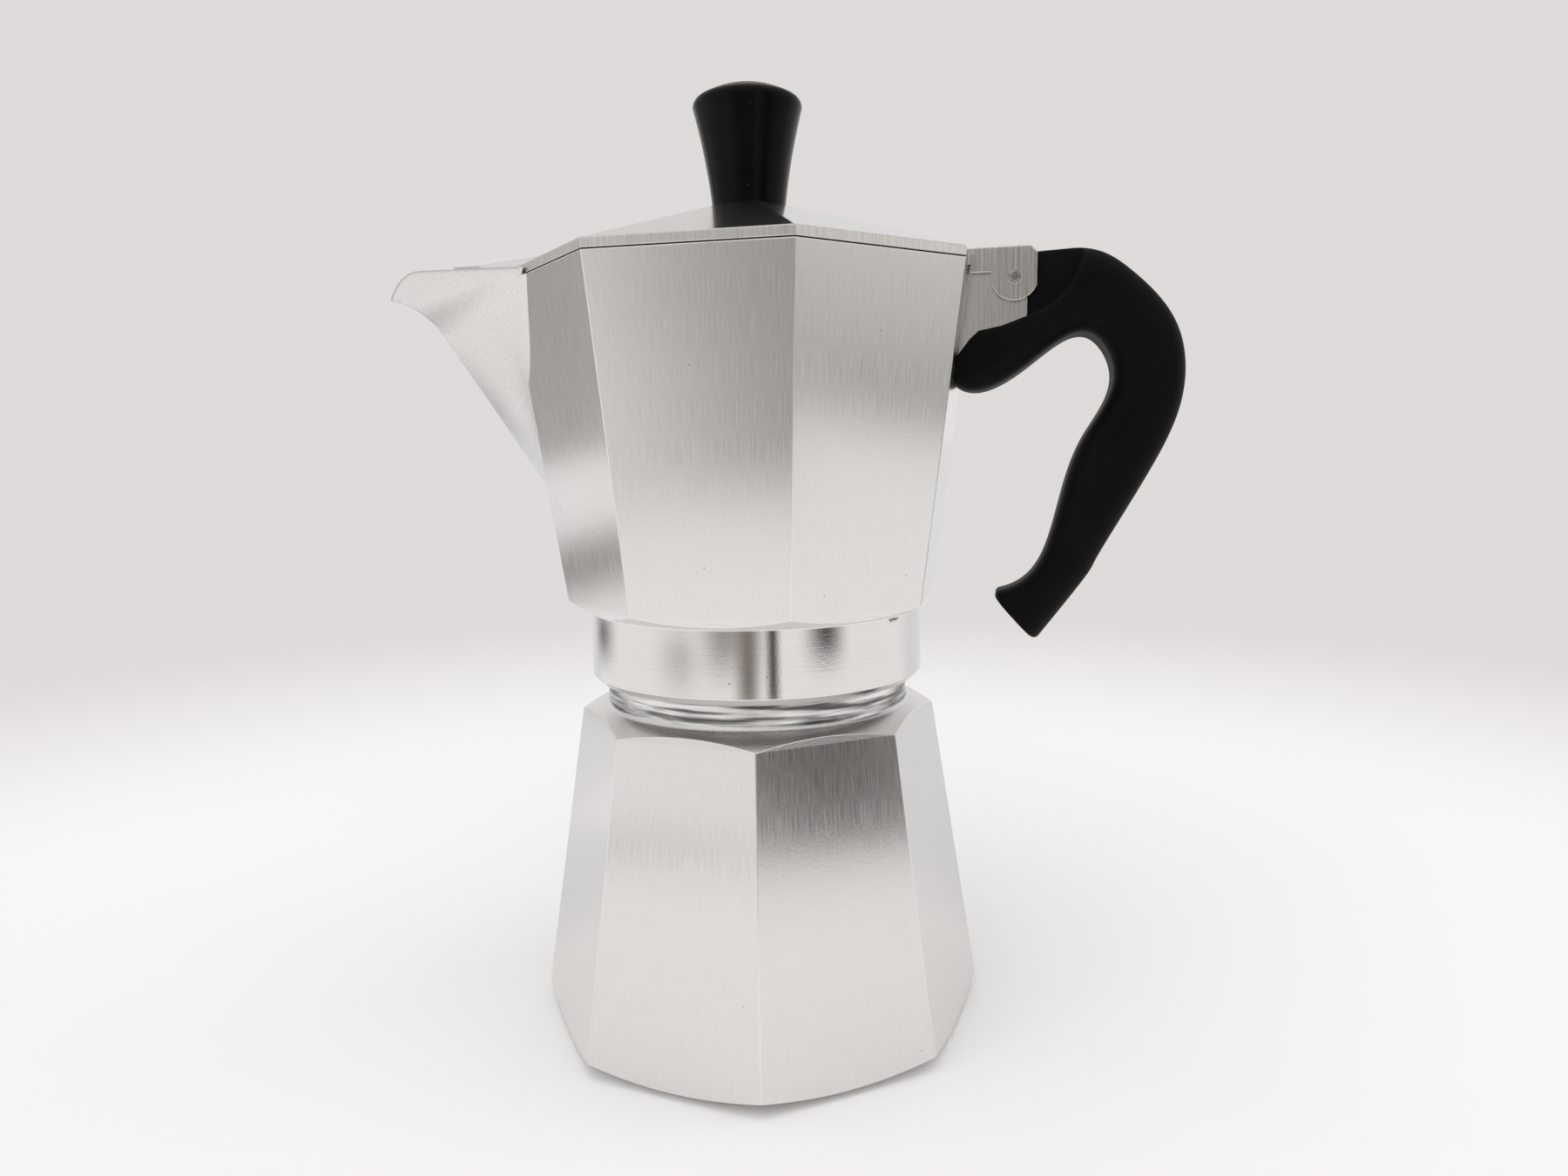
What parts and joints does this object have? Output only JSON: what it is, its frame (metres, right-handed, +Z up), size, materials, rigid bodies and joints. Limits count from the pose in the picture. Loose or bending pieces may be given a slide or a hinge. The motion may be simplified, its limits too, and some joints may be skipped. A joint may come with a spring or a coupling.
{
  "type": "moka pot",
  "caption": "Eight-sided aluminium stove-top coffee maker with boiler, safety valve, funnel, screw-on collector with beaked spout, hinged lid, black knob and black handle.",
  "frame": {"origin": "middle of the boiler's flat base, on the table", "axes": "+Z up; +X towards the handle, -X towards the spout's tip; +Y completes a right-handed frame, with the safety valve on the +Y side"},
  "size_m": [0.1874, 0.104, 0.2161],
  "materials": {
    "cast_aluminium": "satin, fine upright grain, turned bright at collar and neck",
    "polished_aluminium": "polished, milled rim",
    "sheet_aluminium": "plain drawn sheet",
    "gasket_rubber": "matt off-white",
    "valve_rubber": "matt dark",
    "valve_brass": "turned",
    "steel": "plain bright steel",
    "handle_plastic": "satin black",
    "knob_plastic": "gloss black"
  },
  "bodies": {
    "boiler": {"boiler": "cast_aluminium", "valve_body": "valve_brass", "valve_washer": "valve_rubber", "valve_nut": "valve_brass", "valve_cap": "steel", "valve_spring": "steel"},
    "plunger": {"valve_plunger": "steel"},
    "funnel": {"funnel": "sheet_aluminium", "funnel_filter": "sheet_aluminium"},
    "seal": {"gasket": "gasket_rubber"},
    "plate": {"filter_plate": "sheet_aluminium"},
    "collector": {"collector": "cast_aluminium", "coffee_column": "sheet_aluminium", "handle": "handle_plastic", "hinge_pin": "steel"},
    "lid": {"lid": "polished_aluminium", "knob": "knob_plastic", "knob_insert": "valve_brass", "knob_screw": "steel", "knob_washer": "steel"}
  },
  "joints": [
    {"name": "valve_slide", "type": "slide", "parent": "boiler", "child": "plunger", "axis": [-0.5719, 0.8077, 0.1434], "range_m": [0, 0.0015], "stiffness_N_per_m": 1000, "springref_m": -0.002, "deforming": ["valve_spring"]},
    {"name": "funnel_lift", "type": "slide", "parent": "boiler", "child": "funnel", "axis": [0, 0, 1], "range_m": [0, 0.1]},
    {"name": "collector_lift", "type": "slide", "parent": "funnel", "child": "seal", "axis": [0, 0, 1], "range_m": [0, 0.04]},
    {"name": "thread_rise", "type": "slide", "parent": "seal", "child": "plate", "axis": [0, 0, 1], "range_m": [0, 0.0075]},
    {"name": "collector_turn", "type": "hinge", "parent": "plate", "child": "collector", "pos_m": [0, 0, 0.09], "axis": [0, 0, 1], "range_deg": [0, 900]},
    {"name": "lid_hinge", "type": "hinge", "parent": "collector", "child": "lid", "pos_m": [0.05977, 0, 0.17023], "axis": [0, 1, 0], "range_deg": [0, 96]}
  ],
  "couplings": [
    {"joint": "thread_rise", "follows": "collector_turn", "m_per_rad": 0.00047746}
  ]
}
